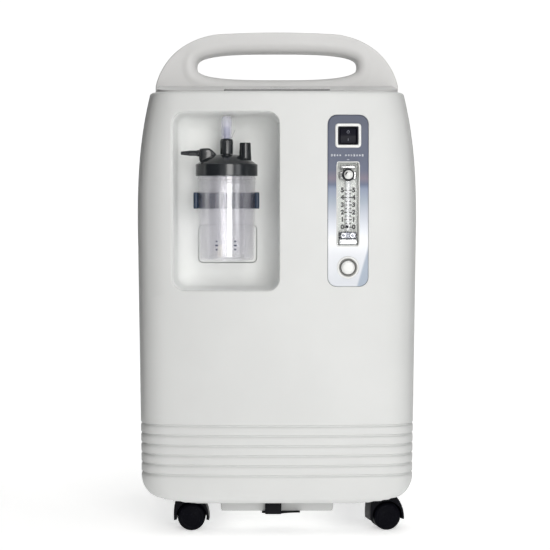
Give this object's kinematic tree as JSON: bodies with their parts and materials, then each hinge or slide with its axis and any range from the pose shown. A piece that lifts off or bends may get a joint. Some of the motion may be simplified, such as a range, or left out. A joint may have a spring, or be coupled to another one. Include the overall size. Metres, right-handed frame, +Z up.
{
  "type": "oxygen concentrator",
  "caption": "Upright oxygen concentrator on casters, with a carrying arch, a humidifier bottle in a front niche and a panel with switch, flowmeter and oxygen outlet.",
  "frame": {"origin": "on the floor under the centre of the bounding box", "axes": "+X to the right seen from the front, +Y towards the back, +Z up"},
  "size_m": [0.36, 0.3914, 0.656],
  "materials": {
    "cover_plastic": "fine satin grain",
    "handle_plastic": "fine satin grain",
    "dark_plastic": "satin",
    "rubber": "matt",
    "wheel_plastic": "satin",
    "clear_plastic": "clear",
    "frosted_plastic": "frosted",
    "panel_film": "satin silver",
    "white_plastic": "gloss",
    "plated_steel": "satin",
    "cast_aluminium": "as cast",
    "display_window": "polished",
    "filter_foam": "open foam",
    "circuit_board": "satin"
  },
  "bodies": {
    "casing": {"front_cover": "cover_plastic", "rear_cover": "cover_plastic", "humidifier_niche": "cover_plastic", "niche_hatch": "cover_plastic", "base_tray": "cover_plastic", "handle_front": "handle_plastic", "handle_rear": "handle_plastic", "bottle_clip": "dark_plastic", "switch_body": "dark_plastic", "mains_inlet": "dark_plastic", "breaker_body": "dark_plastic", "cooling_fan_frame": "dark_plastic", "exhaust_baffle": "rubber", "rubber_mount_front_left": "rubber", "rubber_mount_front_right": "rubber", "rubber_mount_rear_left": "rubber", "rubber_mount_rear_right": "rubber", "flowmeter_body": "clear_plastic", "panel_plate": "panel_film", "switch_bezel": "white_plastic", "flowmeter_bezel": "white_plastic", "outlet_bezel": "white_plastic", "product_tank": "white_plastic", "oxygen_nozzle": "plated_steel", "base_chassis": "plated_steel", "inner_frame": "plated_steel", "heat_exchanger": "plated_steel", "compressor_body": "cast_aluminium", "cylinder_head_left": "cast_aluminium", "cylinder_head_right": "cast_aluminium", "valve_manifold": "cast_aluminium", "sieve_bed_left": "cast_aluminium", "sieve_bed_right": "cast_aluminium", "display_lens": "display_window", "intake_filter": "filter_foam", "control_board": "circuit_board"},
    "bottle": {"humidifier_lid": "dark_plastic", "inlet_elbow": "dark_plastic", "outlet_fitting": "dark_plastic", "outlet_dust_cap": "frosted_plastic", "relief_valve": "dark_plastic", "dip_tube": "clear_plastic", "diffuser": "white_plastic"},
    "jar": {"humidifier_jar": "clear_plastic"},
    "rocker": {"switch_rocker": "dark_plastic"},
    "knob": {"flow_knob": "dark_plastic"},
    "float": {"flowmeter_float": "dark_plastic"},
    "nozzle_cap": {"nozzle_cap": "white_plastic"},
    "door": {"filter_door": "cover_plastic"},
    "reset_button": {"breaker_button": "white_plastic"},
    "compressor_rotor": {"compressor_shaft": "plated_steel"},
    "fan": {"cooling_fan_rotor": "dark_plastic"},
    "swivel_front_left": {"caster_hood_front_left": "wheel_plastic"},
    "wheels_front_left": {"caster_wheels_front_left": "wheel_plastic"},
    "swivel_front_right": {"caster_hood_front_right": "wheel_plastic"},
    "wheels_front_right": {"caster_wheels_front_right": "wheel_plastic"},
    "swivel_rear_left": {"caster_hood_rear_left": "wheel_plastic"},
    "wheels_rear_left": {"caster_wheels_rear_left": "wheel_plastic"},
    "swivel_rear_right": {"caster_hood_rear_right": "wheel_plastic"},
    "wheels_rear_right": {"caster_wheels_rear_right": "wheel_plastic"}
  },
  "joints": [
    {"name": "swivel_front_left", "type": "hinge", "parent": "casing", "child": "swivel_front_left", "pos_m": [-0.126, -0.12425, 0.05], "axis": [0, 0, 1], "continuous": true},
    {"name": "roll_front_left", "type": "hinge", "parent": "swivel_front_left", "child": "wheels_front_left", "pos_m": [-0.111, -0.12425, 0.018], "axis": [0, 1, 0], "continuous": true},
    {"name": "swivel_front_right", "type": "hinge", "parent": "casing", "child": "swivel_front_right", "pos_m": [0.126, -0.12425, 0.05], "axis": [0, 0, 1], "continuous": true},
    {"name": "roll_front_right", "type": "hinge", "parent": "swivel_front_right", "child": "wheels_front_right", "pos_m": [0.14067, -0.12113, 0.018], "axis": [-0.2079, 0.9781, 0], "continuous": true},
    {"name": "swivel_rear_left", "type": "hinge", "parent": "casing", "child": "swivel_rear_left", "pos_m": [-0.126, 0.13575, 0.05], "axis": [0, 0, 1], "continuous": true},
    {"name": "roll_rear_left", "type": "hinge", "parent": "swivel_rear_left", "child": "wheels_rear_left", "pos_m": [-0.1123, 0.14185, 0.018], "axis": [-0.4067, 0.9135, 0], "continuous": true},
    {"name": "swivel_rear_right", "type": "hinge", "parent": "casing", "child": "swivel_rear_right", "pos_m": [0.126, 0.13575, 0.05], "axis": [0, 0, 1], "continuous": true},
    {"name": "roll_rear_right", "type": "hinge", "parent": "swivel_rear_right", "child": "wheels_rear_right", "pos_m": [0.1401, 0.13062, 0.018], "axis": [0.342, 0.9397, 0], "continuous": true},
    {"name": "switch_rock", "type": "hinge", "parent": "casing", "child": "rocker", "pos_m": [0.09, -0.17613, 0.5104], "axis": [-1, 0, 0], "range_deg": [0, 16]},
    {"name": "flow_turn", "type": "hinge", "parent": "casing", "child": "knob", "pos_m": [0.09, -0.17873, 0.4609], "axis": [0, -1, 0], "range_deg": [0, 1080]},
    {"name": "float_rise", "type": "slide", "parent": "casing", "child": "float", "axis": [0, 0, 1], "range_m": [0, 0.052]},
    {"name": "nozzle_cap_pull", "type": "slide", "parent": "casing", "child": "nozzle_cap", "axis": [0, -1, 0], "range_m": [0, 0.016]},
    {"name": "bottle_pull", "type": "slide", "parent": "casing", "child": "bottle", "axis": [0, -1, 0], "range_m": [0, 0.12]},
    {"name": "jar_unscrew", "type": "hinge", "parent": "bottle", "child": "jar", "pos_m": [-0.065, -0.13275, 0.46], "axis": [0, 0, -1], "range_deg": [0, 450]},
    {"name": "filter_door_swing", "type": "hinge", "parent": "casing", "child": "door", "pos_m": [0, 0.19175, 0.4785], "axis": [1, 0, 0], "range_deg": [0, 75]},
    {"name": "breaker_pop", "type": "slide", "parent": "casing", "child": "reset_button", "axis": [0, 1, 0], "range_m": [0, 0.003]},
    {"name": "compressor_spin", "type": "hinge", "parent": "casing", "child": "compressor_rotor", "pos_m": [0, -0.01625, 0.1416], "axis": [1, 0, 0], "continuous": true},
    {"name": "cooling_fan_spin", "type": "hinge", "parent": "casing", "child": "fan", "pos_m": [0, -0.01455, 0.2376], "axis": [0, 0, 1], "continuous": true}
  ]
}
